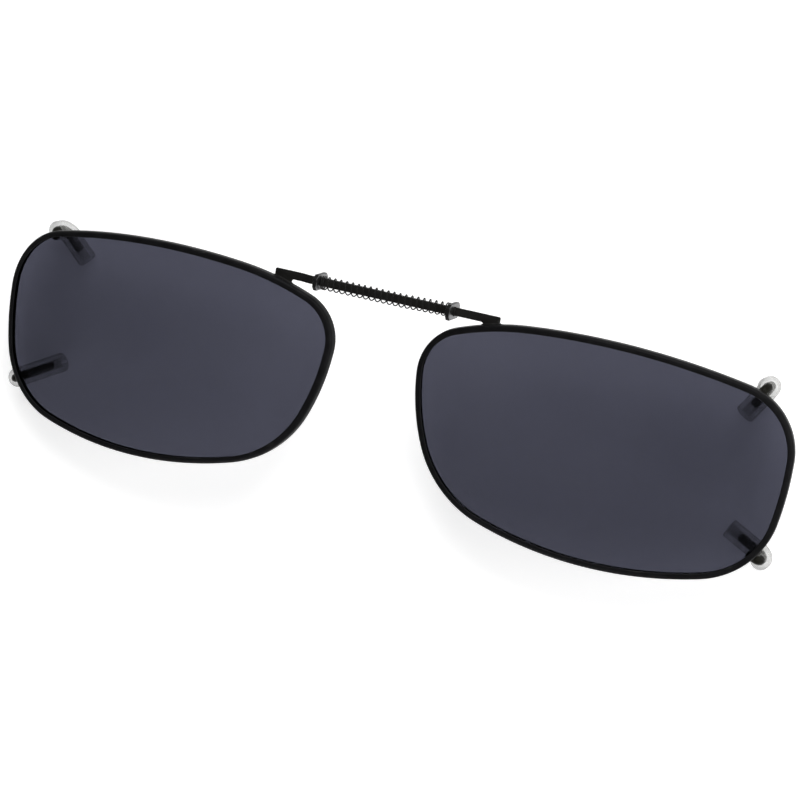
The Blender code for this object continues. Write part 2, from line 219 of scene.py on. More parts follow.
VINYL_ROUGHNESS = (0.16, 0.3)
VINYL_IOR = 1.5
HAZE_SIZE = 0.7 * MM
BLOOM_SIZE = 1.1 * MM
RIPPLE_SIZE = 0.3 * MM
RIPPLE_DEPTH = 0.004 * MM
NICKEL_TONES = ((0.10, 0.10, 0.102), (0.24, 0.24, 0.245))
NICKEL_EDGE = (0.010, 0.010, 0.010)
NICKEL_ROUGHNESS = (0.24, 0.4)
NICKEL_FACING = (0.72, 0.86)  # X share of the normal at which the bright metal starts and is full
FACING_NOISE_SIZE = 0.35 * MM
FACING_NOISE_REACH = 0.12  # how far the noise moves that limit
BRUSH_SIZE = 0.06 * MM
BRUSH_DEPTH = 0.002 * MM
SPRING_TONES = ((0.006, 0.006, 0.0065), (0.016, 0.016, 0.0165))
SPRING_BLOTCH = (0.012, 0.0115, 0.011)
SPRING_ROUGHNESS = (0.3, 0.44)
SPRING_METAL = 0.06
SPRING_GLOSS = 0.04
STREAK_SIZE = 0.1 * MM
STREAK_DEPTH = 0.001 * MM
BLOTCH_SIZE = 1.2 * MM
WEAR_SIZE = 0.25 * MM

# Stage and light
FLOOR_SIZE = 6.0
FLOOR_TONES = ((0.80, 0.80, 0.80), (0.83, 0.83, 0.83))
FLOOR_GRAIN = 40 * MM
FLOOR_ROUGHNESS = 0.7
FLOOR_GLOW = 0.54
SKY_FADE = (0.1, 0.3)  # heights on a unit dome between which the light falls away
SKY_LEVELS = (0.56, 0.02)  # its strength below and above them
LAMP_DISTANCE = 0.9
LAMPS = (  # name, azimuth from +Y towards +X and elevation in degrees, size in metres, watts
    ("top_lamp", 15, 36, 0.6, 7.5),
    ("right_lamp", 85, 30, 0.5, 4.4),
    ("bottom_lamp", 190, 25, 0.5, 4.4),
)


# ------------------------------------------------------------------------ places in the frame


def box_middle(node):
    """The middle of a CAD node's box."""
    low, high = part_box(node)
    return (low + high) / 2


def box_size(node):
    """The size of a CAD node's box."""
    low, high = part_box(node)
    return high - low


KEEPERS = {side: box_middle(f"{side}_bar_keeper") for side in SIDES}
KEEPER_SIZE = box_size("right_bar_keeper")
KEEPER_PLACE = (KEEPERS["left"].x - KEEPERS["right"].x) / 2
BRIDGE_SHIFT = (KEEPERS["left"].x + KEEPERS["right"].x) / 2
BRIDGE_Y = KEEPERS["right"].y
BRIDGE_Z = KEEPERS["right"].z
LENS_Y = box_middle("right_rim").y
LENS_Z = BRIDGE_Z + BRIDGE_DEPTH


# -------------------------------------------------------------------------------- the outline


def tangent_arcs():
    """The outline's arcs as (start heading, end heading, radius, start point)."""
    headings = [math.radians(OUTLINE_START)]
    for turn, _ in OUTLINE_ARCS:
        headings.append(headings[-1] + math.radians(turn))
    unit = []
    for a, b in zip(headings, headings[1:]):
        unit.append(Vector((math.sin(b) - math.sin(a), math.cos(a) - math.cos(b))))
    radii = [None if r is None else r * MM for _, r in OUTLINE_ARCS]
    first, second = [i for i, r in enumerate(radii) if r is None]
    rest = Vector((0, 0))
    for step, radius in zip(unit, radii):
        if radius is not None:
            rest += step * radius
    solve = Matrix(((unit[first].x, unit[second].x), (unit[first].y, unit[second].y))).inverted()
    radii[first], radii[second] = solve @ -rest
    arcs = []
    point = Vector((0, 0))
    for a, b, step, radius in zip(headings, headings[1:], unit, radii):
        arcs.append((a, b, radius, point.copy()))
        point += step * radius
    return arcs


ARCS = tangent_arcs()


def arc_point(arc, heading):
    """A point on an arc and the outward normal there."""
    start, _, radius, origin = arc
    reach = Vector((math.sin(heading) - math.sin(start), math.cos(start) - math.cos(heading)))
    return origin + reach * radius, Vector((math.sin(heading), -math.cos(heading)))


def chain_point(normal_angle):
    """The chain's point whose outward normal has this angle, and that normal."""
    heading = normal_angle + math.pi / 2
    while heading < ARCS[0][0]:
        heading += 2 * math.pi
    while heading > ARCS[-1][1]:
        heading -= 2 * math.pi
    arc = next(a for a in ARCS if a[0] <= heading <= a[1])
    return arc_point(arc, heading)


def chain_middle():
    """The middle of the chain's box."""
    right = chain_point(0.0)[0].x
    top = chain_point(math.pi / 2)[0].y
    left = chain_point(math.pi)[0].x
    bottom = chain_point(-math.pi / 2)[0].y
    return Vector(((left + right) / 2, (bottom + top) / 2))


MIDDLE = chain_middle()


def rim_point(normal_angle):
    """The point of the rim's centreline where the outward normal has this angle, and the normal."""
    point, normal = chain_point(normal_angle)
    return point - MIDDLE, normal


def outline_samples():
    """Evenly stepped (point, normal) pairs once round the rim's centreline."""
    samples = []
    for arc in ARCS:
        start, end, radius, _ = arc
        turn = end - start
        steps = max(math.ceil(turn / ARC_STEP), math.ceil(turn * radius / ARC_STEP_LENGTH))
        for k in range(steps):
            point, normal = arc_point(arc, start + turn * k / steps)
            samples.append((point - MIDDLE, normal))
    return samples


def sag(x, y):
    """How far the lens surface has dropped back from its crown."""
    return LENS_SPHERE - math.sqrt(LENS_SPHERE**2 - x * x - y * y)


def on_lens(x, y, up=0.0):
    """The place in the object's frame of a point of the right lens, up from its middle surface."""
    wrapped = Matrix.Rotation(WRAP, 3, "Y") @ Vector((x, y, up - sag(x, y)))
    return wrapped + Vector((LENS_SPACING, LENS_Y, LENS_Z))


# ------------------------------------------------------------------------------- mesh helpers


def solid(name, verts, faces):
    """A closed mesh object with its normals outwards."""
    data = bpy.data.meshes.new(name)
    shape = bmesh.new()
    made = [shape.verts.new(v) for v in verts]
    for face in faces:
        shape.faces.new([made[i] for i in face])
    bmesh.ops.recalc_face_normals(shape, faces=shape.faces)
    shape.to_mesh(data)
    shape.free()
    item = bpy.data.objects.new(name, data)
    bpy.context.scene.collection.objects.link(item)
    return item


def loft(name, rings, closed=False):
    """A solid skin over rings of points, with flat end caps unless the rings close on themselves."""
    size = len(rings[0])
    verts = [point for ring in rings for point in ring]
    faces = []
    for i in range(len(rings) if closed else len(rings) - 1):
        here = i * size
        there = (i + 1) % len(rings) * size
        for k in range(size):
            m = (k + 1) % size
            faces.append((here + k, here + m, there + m, there + k))
    if not closed:
        faces.append(range(size))
        faces.append(range(len(verts) - size, len(verts)))
    return solid(name, verts, faces)


def rounded_corner(before, corner, after, radius, step):
    """Points of the arc that rounds a corner between two straight lines."""
    corner = Vector(corner)
    back = (Vector(before) - corner).normalized()
    ahead = (Vector(after) - corner).normalized()
    bend = math.pi - back.angle(ahead)
    setback = radius * math.tan(bend / 2)
    centre = corner + (back + ahead).normalized() * (radius / math.cos(bend / 2))
    start = corner + back * setback - centre
    count = math.ceil(bend / step)
    points = []
    for k in range(count + 1):
        angle = bend * k / count
        points.append(centre + start * math.cos(angle) - back * radius * math.sin(angle))
    return points


def rounded_path(corners, radii, step):
    """A polyline with an arc of the given radius at each inner corner."""
    path = [Vector(corners[0])]
    for before, corner, after, radius in zip(corners, corners[1:], corners[2:], radii):
        path += rounded_corner(before, corner, after, radius, step)
    path.append(Vector(corners[-1]))
    return path


def rounded_loop(corners, radii, step):
    """A closed outline with rounded corners. A radius of 0 leaves its corner sharp."""
    loop = []
    for k, (corner, radius) in enumerate(zip(corners, radii)):
        if radius:
            after = corners[(k + 1) % len(corners)]
            loop += rounded_corner(corners[k - 1], corner, after, radius, step)
        else:
            loop.append(Vector(corner))
    return loop


def resampled(path, step):
    """The path with extra points on its long straights."""
    points = [path[0]]
    for a, b in zip(path, path[1:]):
        count = math.ceil((b - a).length / step)
        points += [a.lerp(b, k / count) for k in range(1, count + 1)]
    return points


def rounded_ends(path, radius, lip, steps=7):
    """Points and radii for a rod along a path, its ends rounded over lip. A bore has a negative lip."""
    angles = [math.pi / 2 * k / steps for k in range(steps + 1)]
    ahead = (path[1] - path[0]).normalized() * abs(lip)
    back = (path[-2] - path[-1]).normalized() * abs(lip)
    head = [path[0] + ahead * (1 - math.cos(a)) for a in angles]
    tail = [path[-1] + back * (1 - math.cos(a)) for a in reversed(angles)]
    tapered = [radius - lip * (1 - math.sin(a)) for a in angles]
    return head + path[1:-1] + tail, tapered + [radius] * (len(path) - 2) + tapered[::-1]


def rings_along(points, radii, sides, across, pinches=None):
    """Circles of points across a path. across gives a direction off the path at a point.

    pinches draw each circle in on the side that the path's bends are hollow on.
    """
    ahead = points[1:] + points[-1:]
    behind = points[:1] + points[:-1]
    rings = []
    for k, centre in enumerate(points):
        forward = (ahead[k] - behind[k]).normalized()
        hollow = across(centre).cross(forward).normalized()
        side = forward.cross(hollow)
        circle = []
        for m in range(sides):
            angle = 2 * math.pi * m / sides
            reach = radii[k]
            if pinches:
                reach -= pinches[k] * max(math.cos(angle), 0) ** 2
            circle.append(centre + (hollow * math.cos(angle) + side * math.sin(angle)) * reach)
        rings.append(circle)
    return rings


def inset(loop, distance):
    """A flat counter-clockwise outline moved inwards, with mitred corners."""
    moved = []
    for k, here in enumerate(loop):
        come = (here - loop[k - 1]).normalized()
        go = (loop[(k + 1) % len(loop)] - here).normalized()
        left = Vector((-come.y - go.y, come.x + go.x))
        moved.append(here + left * (distance / (1 + come.dot(go))))
    return moved


def edge_rings(loop, thickness, radius, hole=False):
    """Rings in height order round a plate's edge, or a hole's, rounded where it meets the faces."""
    sign = -1 if hole else 1
    half = thickness / 2
    quarter = [math.pi / 2 * k / EDGE_STEPS for k in range(EDGE_STEPS + 1)]
    profile = [(radius * (1 - math.sin(a)), radius * (1 - math.cos(a)) - half) for a in quarter]
    profile += [(inward, -up) for inward, up in reversed(profile)]
    rings = []
    for inward, up in profile:
        rings.append([Vector((p.x, p.y, up)) for p in inset(loop, sign * inward)])
    return rings


def placed(rings, matrix):
    """Rings of points moved by a matrix."""
    return [[matrix @ point for point in points] for points in rings]


# ----------------------------------------------------------------------------- rims and lenses


def rim_section():
    """Channel section of drawn wire: x points into the lens, y to the front."""
    wide = RIM_WIDTH / 2
    deep = RIM_DEPTH / 2
    mouth = GROOVE_WIDTH / 2
    bottom = wide - GROOVE_DEPTH
    upper = [(bottom, mouth), (wide, mouth), (wide, deep), (-wide, deep)]
    lower = [(x, -y) for x, y in reversed(upper)]
    radii = [0, GROOVE_ROUND, RIM_ROUND, RIM_OUTER_ROUND]
    return rounded_loop(upper + lower, radii + radii[::-1], SECTION_STEP)


def make_rim(name):
    """The eyewire: the channel section swept round the outline, then curved like the lens."""
    section = rim_section()
    rings = []
    for point, normal in outline_samples():
        rings.append([on_lens(*(point - normal * inward), up) for inward, up in section])
    return loft(name, rings, closed=True)


def make_lens(name):
    """A thin curved lens with a bevelled edge, in rings from its middle to the edge and back."""
    samples = outline_samples()
    edge = [point - normal * LENS_INSET for point, normal in samples]
    face = [point - normal * (LENS_INSET + LENS_BEVEL) for point, normal in samples]
    half = LENS_THICKNESS / 2
    shares = [k / LENS_RINGS for k in range(1, LENS_RINGS + 1)]
    rings = [[on_lens(*(p * share), half) for p in face] for share in shares]
    rings.append([on_lens(*p, half - LENS_BEVEL) for p in edge])
    rings.append([on_lens(*p, LENS_BEVEL - half) for p in edge])
    rings += [[on_lens(*(p * share), -half) for p in face] for share in reversed(shares)]
    return loft(name, rings)


# --------------------------------------------------------------------------------------- hooks


def hook_place(hook):
    """A hook's matrix from its own upright plane to the object's frame, its rise and its depth."""
    rim_angle, out_angle, rise = HOOKS[hook]
    point, _ = rim_point(rim_angle)
    base = on_lens(*point)
    place = Matrix.Translation(base) @ Matrix.Rotation(out_angle, 4, "Z")
    return place, rise, base.z - SLEEVE_FLAT


def hook_corners(rise, depth, reach):
    """Corners of a hook in its own plane: out over the rim's back, backwards, then inwards."""
    front = -HOOK_DROP
    return [(-HOOK_START, 0, front), (rise, 0, front), (rise, 0, -depth), (-reach, 0, -depth)]


def off_plane(_):
    """The direction square to a hook's own plane."""
    return Vector((0, 1, 0))


def make_hook(name, hook):
    """A bent wire with domed ends, from the rim's back into its sleeve."""
    place, rise, depth = hook_place(hook)
    corners = hook_corners(rise, depth, WIRE_REACH)
    path = rounded_path(corners, (HOOK_FRONT_BEND, HOOK_REAR_BEND), WIRE_BEND_STEP)
    points, radii = rounded_ends(path, WIRE_RADIUS, WIRE_DOME)
    return loft(name, placed(rings_along(points, radii, WIRE_SIDES, off_plane), place))


def sleeve_pinches(points, start, length):
    """How far the sleeve's hollow side is drawn in at each point, in a few soft wrinkles."""
    pinches = []
    travelled = 0.0
    for before, here in zip([points[0], *points], points):
        travelled += (here - before).length
        share = min(max((travelled - start) / length, 0), 1)
        fold = 0.5 - 0.5 * math.cos(2 * math.pi * WRINKLES * share)
        pinches.append(WRINKLE_DEPTH * math.sin(math.pi * share) * fold)
    return pinches


def make_sleeve(name, hook):
    """A soft tube over the hook, open at both ends, wrinkled at its bend and flat where it rests."""
    place, rise, depth = hook_place(hook)
    corners = hook_corners(rise, depth, SLEEVE_REACH)[1:]
    corners[0] = (rise, 0, -HOOK_DROP - HOOK_FRONT_BEND - SLEEVE_GAP)
    path = resampled(rounded_path(corners, (HOOK_REAR_BEND,), SLEEVE_BEND_STEP), SLEEVE_STEP)
    points, radii = rounded_ends(path, SLEEVE_RADIUS, SLEEVE_LIP)
    straight = depth - HOOK_DROP - HOOK_FRONT_BEND - SLEEVE_GAP - HOOK_REAR_BEND
    pinches = sleeve_pinches(points, straight, HOOK_REAR_BEND * math.pi / 2)
    outside = rings_along(points, radii, SLEEVE_SIDES, off_plane, pinches)
    points, radii = rounded_ends(path, SLEEVE_BORE, -SLEEVE_LIP)
    inside = rings_along(points, radii, SLEEVE_SIDES, off_plane)
    rings = placed(outside + inside[::-1], place)
    for points in rings:
        for point in points:
            point.z = max(point.z, 0)
    return loft(name, rings, closed=True)


def make_braze(name, hook):
    """The fillet of brazing metal between a hook's start and the rim's back."""
    place, _, _ = hook_place(hook)
    base = place.translation
    point, normal = rim_point(HOOKS[hook][0])
    along = Vector((-normal.y, normal.x))
    rings = []
    for level in range(BRAZE_LEVELS + 1):
        share = level / BRAZE_LEVELS
        spread = (1 - share) ** 2
        points = []
        for k in range(WIRE_SIDES):
            angle = 2 * math.pi * k / WIRE_SIDES
            wide = normal * math.cos(angle) * BRAZE_WIDE + along * math.sin(angle) * BRAZE_LONG
            narrow = (normal * math.cos(angle) + along * math.sin(angle)) * BRAZE_NARROW
            top = on_lens(*(point + wide), BRAZE_SINK - RIM_DEPTH / 2)
            low = base + Vector((narrow.x, narrow.y, -HOOK_DROP))
            x, y = low.xy.lerp(top.xy, spread)
            points.append(Vector((x, y, top.z + (low.z - top.z) * share)))
        rings.append(points)
    return loft(name, rings)


# -------------------------------------------------------------------------------------- bridge


def foot_seat(side, offset, steps, overrun=0.0):
    """Points along the rim's outside under a bar's foot, from its inner end, and the normals.

    overrun is a turn of the rim past the foot at both ends.
    """
    furthest, nearest = FOOT_ANGLES[side]
    start = nearest + overrun
    turn = furthest - nearest - 2 * overrun
    seat = []
    for k in range(steps + 1):
        point, normal = rim_point(start + turn * k / steps)
        seat.append((on_lens(*(point + normal * offset)).xy, normal))
    return seat


def bar_outline(side):
    """A bar's outline in XY, from beyond its keeper to its foot, counter-clockwise."""
    shift = BRIDGE_SHIFT if side == "right" else -BRIDGE_SHIFT
    free_end = shift - KEEPER_PLACE - KEEPER_SIZE.x / 2 - BAR_OVERRUN
    low = BRIDGE_Y - BAR_HEIGHT / 2
    high = BRIDGE_Y + BAR_HEIGHT / 2
    seat = [point for point, _ in foot_seat(side, RIM_WIDTH / 2 - FOOT_SINK, FOOT_STEPS)]
    inner = (seat[0].x, low)
    outer = (seat[-1].x, high)
    end_top = (free_end, high)
    end_bottom = (free_end, low)
    fillet = rounded_corner(end_bottom, inner, seat[0], FOOT_FILLET, FILLET_STEP)
    corner = rounded_corner(seat[-1], outer, end_top, FOOT_ROUND, CORNER_STEP)
    end_high = rounded_corner(corner[-1], end_top, end_bottom, BAR_TIP, CORNER_STEP)
    end_low = rounded_corner(end_top, end_bottom, fillet[0], BAR_TIP, CORNER_STEP)
    return [*end_low, *fillet, *seat, *corner, *end_high]


def make_bar(name, side):
    """A flat strip with softened edges. The left one steps out before the right one in an S-bend."""
    item = loft(name, edge_rings(bar_outline(side), BAR_THICKNESS, BAR_ROUND))
    item.data.transform(Matrix.Translation((0, 0, BRIDGE_Z - BAR_PITCH / 2)))
    if side == "left":
        step_out(item)
    return item


def step_out(item):
    """Bends a strip forwards by the bars' pitch in a smooth S between its foot and its keeper."""
    shape = bmesh.new()
    shape.from_mesh(item.data)
    for k in range(JOG_CUTS + 1):
        cut = JOG_END + (JOG_START - JOG_END) * k / JOG_CUTS
        everything = [*shape.verts, *shape.edges, *shape.faces]
        bmesh.ops.bisect_plane(shape, geom=everything, plane_co=(cut, 0, 0), plane_no=(1, 0, 0))
    for vertex in shape.verts:
        share = min(max((JOG_START - vertex.co.x) / (JOG_START - JOG_END), 0), 1)
        vertex.co.z += BAR_PITCH * share * share * (3 - 2 * share)
    shape.to_mesh(item.data)
    shape.free()


def make_weld(name, side):
    """A small bead of metal along the joint of a bar's foot and the rim."""
    level = BRIDGE_Z - BAR_PITCH / 2
    rings = []
    for k, (place, normal) in enumerate(foot_seat(side, RIM_WIDTH / 2, WELD_STEPS, WELD_OVERRUN)):
        along = 2 * k / WELD_STEPS - 1
        swell = math.sqrt(max(1 - along**4, WELD_TIP))
        points = []
        for m in range(WELD_SIDES):
            angle = 2 * math.pi * m / WELD_SIDES
            out = normal * (WELD_WIDE * swell * math.cos(angle))
            up = WELD_HIGH * swell * math.sin(angle)
            points.append(Vector((place.x + out.x, place.y + out.y, level + up)))
        rings.append(points)
    return loft(name, rings)


def make_keeper(name, side):
    """A plate across the bars, with cut corners and a window that both bars pass through."""
    x = KEEPER_SIZE.y / 2
    y = KEEPER_SIZE.z / 2
    cut = KEEPER_CHAMFER
    corners = []
    for sx, sy in ((1, 1), (-1, 1), (-1, -1), (1, -1)):
        pair = [(sx * x, sy * (y - cut)), (sx * (x - cut), sy * y)]
        corners += pair if sx == sy else pair[::-1]
    outer = rounded_loop(corners, [KEEPER_SOFT] * len(corners), CORNER_STEP)
    wide = BAR_HEIGHT / 2 + KEEPER_PLAY
    deep = BAR_THICKNESS + BAR_GAP / 2 + KEEPER_PLAY
    window = [(wide, deep), (-wide, deep), (-wide, -deep), (wide, -deep)]
    same_count = math.pi / 2 / (len(outer) / len(window) - 1)
    inner = rounded_loop(window, [WINDOW_ROUND] * len(window), same_count)
    rings = edge_rings(outer, KEEPER_SIZE.x, KEEPER_ROUND)
    rings += edge_rings(inner, KEEPER_SIZE.x, KEEPER_ROUND / 2, hole=True)[::-1]
    return loft(name, placed(rings, Matrix.Translation(KEEPERS[side]) @ ACROSS_X), closed=True)


def make_spring(name):
    """A compression spring along X with closed end turns.

    It hangs low on the bars from its -X end and rises towards the other.
    """
    middle = box_middle("bridge_spring").x
    half = box_size("bridge_spring").x / 2 - SPRING_WIRE
    ends = SPRING_END_TURNS * SPRING_END_PITCH
    open_turns = 2 * (half - ends) / SPRING_PITCH
    turns = 2 * SPRING_END_TURNS + open_turns
    radius = SPRING_RADIUS - SPRING_WIRE
    count = round(turns * SPRING_STEPS)

    def axis_point(x):
        """The spring's middle line, x from its middle."""
        share = (x + half) / (2 * half)
        rise = max(share - SPRING_LOW_SHARE, 0) / (1 - SPRING_LOW_SHARE)
        lift = SPRING_SKEW[0] + (SPRING_SKEW[1] - SPRING_SKEW[0]) * rise
        return Vector((middle + x, BRIDGE_Y + lift, BRIDGE_Z))

    def across(point):
        """The direction from the middle line to a point of the coil."""
        return point - axis_point(point.x - middle)

    path = []
    for k in range(count + 1):
        turn = turns * k / count
        closed = min(turn, SPRING_END_TURNS) + max(turn - SPRING_END_TURNS - open_turns, 0)
        x = -half + closed * SPRING_END_PITCH + (turn - closed) * SPRING_PITCH
        angle = 2 * math.pi * turn
        path.append(axis_point(x) + Vector((0, math.cos(angle), math.sin(angle))) * radius)
    points, radii = rounded_ends(path, SPRING_WIRE, SPRING_DOME, SPRING_DOME_STEPS)
    return loft(name, rings_along(points, radii, SPRING_SIDES, across))


# ----------------------------------------------------------------------------------- materials


class Paint:
    """A Principled material and short calls for its nodes."""

    def __init__(self, name):
        self.material = bpy.data.materials.new(name)
        self.material.use_nodes = True
        self.tree = self.material.node_tree
        self.shader = self.tree.nodes["Principled BSDF"]
        self.place = self.node("ShaderNodeTexCoord").outputs["Object"]

    def node(self, kind, settings=(), **inputs):
        """A new node. An input's name has _ for each space."""
        made = self.tree.nodes.new(kind)
        for key, value in dict(settings).items():
            setattr(made, key, value)
        for key, value in inputs.items():
            self.feed(made.inputs[key.replace("_", " ")], value)
        return made

    def feed(self, socket, value):
        """Links a socket to another's output, or sets it."""
        if isinstance(value, bpy.types.NodeSocket):
            self.tree.links.new(value, socket)
        else:
            socket.default_value = value

    def set(self, **inputs):
        """Feeds the shader's own inputs."""
        for key, value in inputs.items():
            self.feed(self.shader.inputs[key.replace("_", " ")], value)

    def noise(self, size, detail=3.0, stretch=(1, 1, 1)):
        """Noise from 0 to 1 with features of a size in metres, longer along stretched axes."""
        scale = tuple(1 / size / s for s in stretch)
        place = self.node("ShaderNodeMapping", Vector=self.place, Scale=scale).outputs[0]
        return self.node("ShaderNodeTexNoise", Vector=place, Scale=1.0, Detail=detail).outputs[0]

    def spread(self, value, low, high, start=0.3, end=0.7):
        """A value stretched from start..end to low..high."""
        made = self.node("ShaderNodeMapRange")
        for index, given in enumerate((value, start, end, low, high)):
            self.feed(made.inputs[index], given)
        return made.outputs[0]

    def mix(self, share, first, second):
        """A colour between two others."""
        made = self.node("ShaderNodeMix", {"data_type": "RGBA"})
        self.feed(made.inputs[0], share)
        self.feed(made.inputs[6], first if isinstance(first, bpy.types.NodeSocket) else (*first, 1))
        self.feed(made.inputs[7], second if isinstance(second, bpy.types.NodeSocket) else (*second, 1))
        return made.outputs[2]

    def math(self, operation, *values):
        """Arithmetic on values, kept between 0 and 1."""
        made = self.node("ShaderNodeMath", {"operation": operation, "use_clamp": True})
        for socket, value in zip(made.inputs, values):
            self.feed(socket, value)
        return made.outputs[0]

    def bump(self, height, distance):
        """Fine relief: a height of 1 stands out by this distance."""
        made = self.node("ShaderNodeBump", Height=height, Distance=distance, Strength=1.0)
        self.set(Normal=made.outputs[0])

    def edges(self):
        """1 on the shape's sharp outer edges, 0 elsewhere."""
        pointed = self.node("ShaderNodeNewGeometry").outputs["Pointiness"]
        return self.spread(pointed, 0.0, 1.0, *EDGE_WEAR_AND_HIGHLIGHT)


def lacquer(name, dark, light, worn_and_highlit_tone):
    """Black paint: faint mottling, smudged gloss, orange peel, and sharp edges made lighter, partly as
    rubbed paint and partly as a painted highlight.
    """
    paint = Paint(name)
    mottle = paint.spread(paint.noise(MOTTLE_SIZE), 0, 1)
    # Sharp edges get a lighter tone: partly rubbed paint, partly a painted highlight along them.
    uneven = paint.spread(paint.noise(EDGE_WEAR_AND_HIGHLIGHT_SIZE), 0.1, 1, 0.4, 0.65)
    wear_and_highlight = paint.math("MULTIPLY", paint.edges(), uneven)
    colour = paint.mix(mottle, dark, light)
    smudge = paint.spread(paint.noise(SMUDGE_SIZE, detail=5), *LACQUER_ROUGHNESS)
    paint.set(
        Base_Color=paint.mix(wear_and_highlight, colour, worn_and_highlit_tone),
        Roughness=paint.math("ADD", smudge, paint.math("MULTIPLY", wear_and_highlight, RUBBED_ROUGHNESS)),
    )
    paint.shader.inputs["Specular IOR Level"].default_value = LACQUER_GLOSS
    paint.bump(paint.noise(PEEL_SIZE, detail=2), PEEL_DEPTH)
    return paint.material


def smoke_tint():
    """Smoke-grey lens: an even tint with a blue cast, polished, with faint smears."""
    paint = Paint("smoke_tint")
    cloud = paint.spread(paint.noise(CLOUD_SIZE, detail=2), 0, 1)
    smear = paint.spread(paint.noise(SMEAR_SIZE, detail=4, stretch=(3, 1, 1)), *LENS_ROUGHNESS)
    paint.set(
        Base_Color=paint.mix(cloud, *LENS_TINTS),
        Roughness=smear,
        Transmission_Weight=1.0,
        IOR=LENS_IOR,
    )
    paint.bump(paint.noise(WAVE_SIZE, detail=1), WAVE_DEPTH)
    return paint.material


def clear_vinyl():
    """Clear soft tube: milky, more solid towards its outline, with fine haze and drawn ripples."""
    paint = Paint("clear_vinyl")
    haze = paint.spread(paint.noise(HAZE_SIZE, detail=4), 0, 1)
    facing = paint.node("ShaderNodeLayerWeight", Blend=0.35).outputs["Facing"]
    thick = paint.spread(facing, 0.0, VINYL_EDGE_ALPHA, 0.3, 1.0)
    paint.set(
        Base_Color=paint.mix(haze, *VINYL_TONES),
        Roughness=paint.spread(paint.noise(BLOOM_SIZE), *VINYL_ROUGHNESS),
        IOR=VINYL_IOR,
        Alpha=paint.math("ADD", paint.spread(haze, *VINYL_ALPHA, 0, 1), thick),
    )
    paint.bump(paint.noise(RIPPLE_SIZE, detail=2, stretch=(1, 1, 3)), RIPPLE_DEPTH)
    return paint.material


def nickel():
    """Keeper plate: brushed bright metal on its two wide faces, dark and not metallic on its edges."""
    paint = Paint("nickel")
    normal = paint.node("ShaderNodeTexCoord").outputs["Normal"]
    # Faces that point along X are bright metal; the others are dark and not metallic, chosen by the way
    # each face points.
    sideways = paint.math("ABSOLUTE", paint.node("ShaderNodeSeparateXYZ", Vector=normal).outputs[0])
    facing_noise = paint.spread(paint.noise(FACING_NOISE_SIZE), -FACING_NOISE_REACH, FACING_NOISE_REACH)
    bright = paint.spread(paint.math("ADD", sideways, facing_noise), 0, 1, *NICKEL_FACING)
    brushed = paint.noise(BRUSH_SIZE, stretch=(1, 12, 1))
    metal = paint.mix(paint.spread(brushed, 0, 1), *NICKEL_TONES)
    paint.set(
        Base_Color=paint.mix(bright, NICKEL_EDGE, metal),
        Metallic=bright,
        Roughness=paint.spread(brushed, *NICKEL_ROUGHNESS),
    )
    paint.shader.inputs["Specular IOR Level"].default_value = LACQUER_GLOSS
    paint.bump(brushed, BRUSH_DEPTH)
    return paint.material


def spring_steel():
    """Dark tempered wire: drawn streaks and faint brownish blotches."""
    paint = Paint("spring_steel")
    streak = paint.spread(paint.noise(STREAK_SIZE, stretch=(1, 4, 4)), 0, 1)
    blotch = paint.spread(paint.noise(BLOTCH_SIZE, detail=2), 0, 1)
    paint.set(
        Base_Color=paint.mix(blotch, paint.mix(streak, *SPRING_TONES), SPRING_BLOTCH),
        Metallic=SPRING_METAL,
        Roughness=paint.spread(paint.noise(WEAR_SIZE), *SPRING_ROUGHNESS),
    )
    paint.shader.inputs["Specular IOR Level"].default_value = SPRING_GLOSS
    paint.bump(streak, STREAK_DEPTH)
    return paint.material


# ------------------------------------------------------------------------------- the assembly


def add_piece(item, side, paint, slot, *nodes):
    """Paints a piece, and has it ride on its half in place of its CAD nodes, if it has any."""
    item.data.shade_smooth()
    item.data.set_sharp_from_angle(angle=SHARP_ANGLE)
    item.data.materials.append(paint)
    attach(item, f"{side}_half")
    if nodes:
        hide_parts(*nodes)


def mirrored(item, side):
    """Turns a right-hand piece of the left half into a left-hand one."""
    if side == "left":
        item.data.transform(Matrix.Scale(-1, 4, (1, 0, 0)))
        item.data.flip_normals()
    return item


def build_half(side, paints):
    """All the rigid pieces of one half."""
    pieces = [
        (make_rim(f"{side}_eyewire"), "black_lacquer", f"{side}_rim"),
        (make_lens(f"{side}_tinted_lens"), "smoke_tint", f"{side}_lens"),
        (make_bar(f"{side}_bar", side), "bar_lacquer", f"{side}_bridge_bar"),
        (make_weld(f"{side}_foot_weld", side), "bar_lacquer"),
    ]
    for level in ("upper", "lower"):
        hook = f"{side}_{level}"
        pieces += [
            (make_hook(f"{hook}_wire", hook), "hook_lacquer", f"{hook}_hook"),
            (make_sleeve(f"{hook}_vinyl", hook), "clear_vinyl", f"{hook}_sleeve"),
            (make_braze(f"{hook}_braze", hook), "hook_lacquer"),
        ]
    for item, slot, *nodes in pieces:
        add_piece(mirrored(item, side), side, paints[slot], slot, *nodes)
    keeper = make_keeper(f"{side}_keeper_plate", side)
    add_piece(keeper, side, paints["nickel"], "nickel", f"{side}_bar_keeper")


def build_spring(paint):
    """The bridge spring, made at rest and riding on the right half; the real one flattens against the
    right bar's keeper as the left half slides out.
    """
    spring = make_spring("bridge_coil")
    add_piece(spring, "right", paint, "spring_steel", "bridge_spring")
    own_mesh(spring)


def build():
    """All the pieces of the object in their materials."""
    paints = {name: lacquer(name, *tones) for name, tones in LACQUERS.items()}
    paints["smoke_tint"] = smoke_tint()
    paints["clear_vinyl"] = clear_vinyl()
    paints["nickel"] = nickel()
    paints["spring_steel"] = spring_steel()
    for side in SIDES:
        build_half(side, paints)
    build_spring(paints["spring_steel"])


# ----------------------------------------------------------------------- stage, light, camera


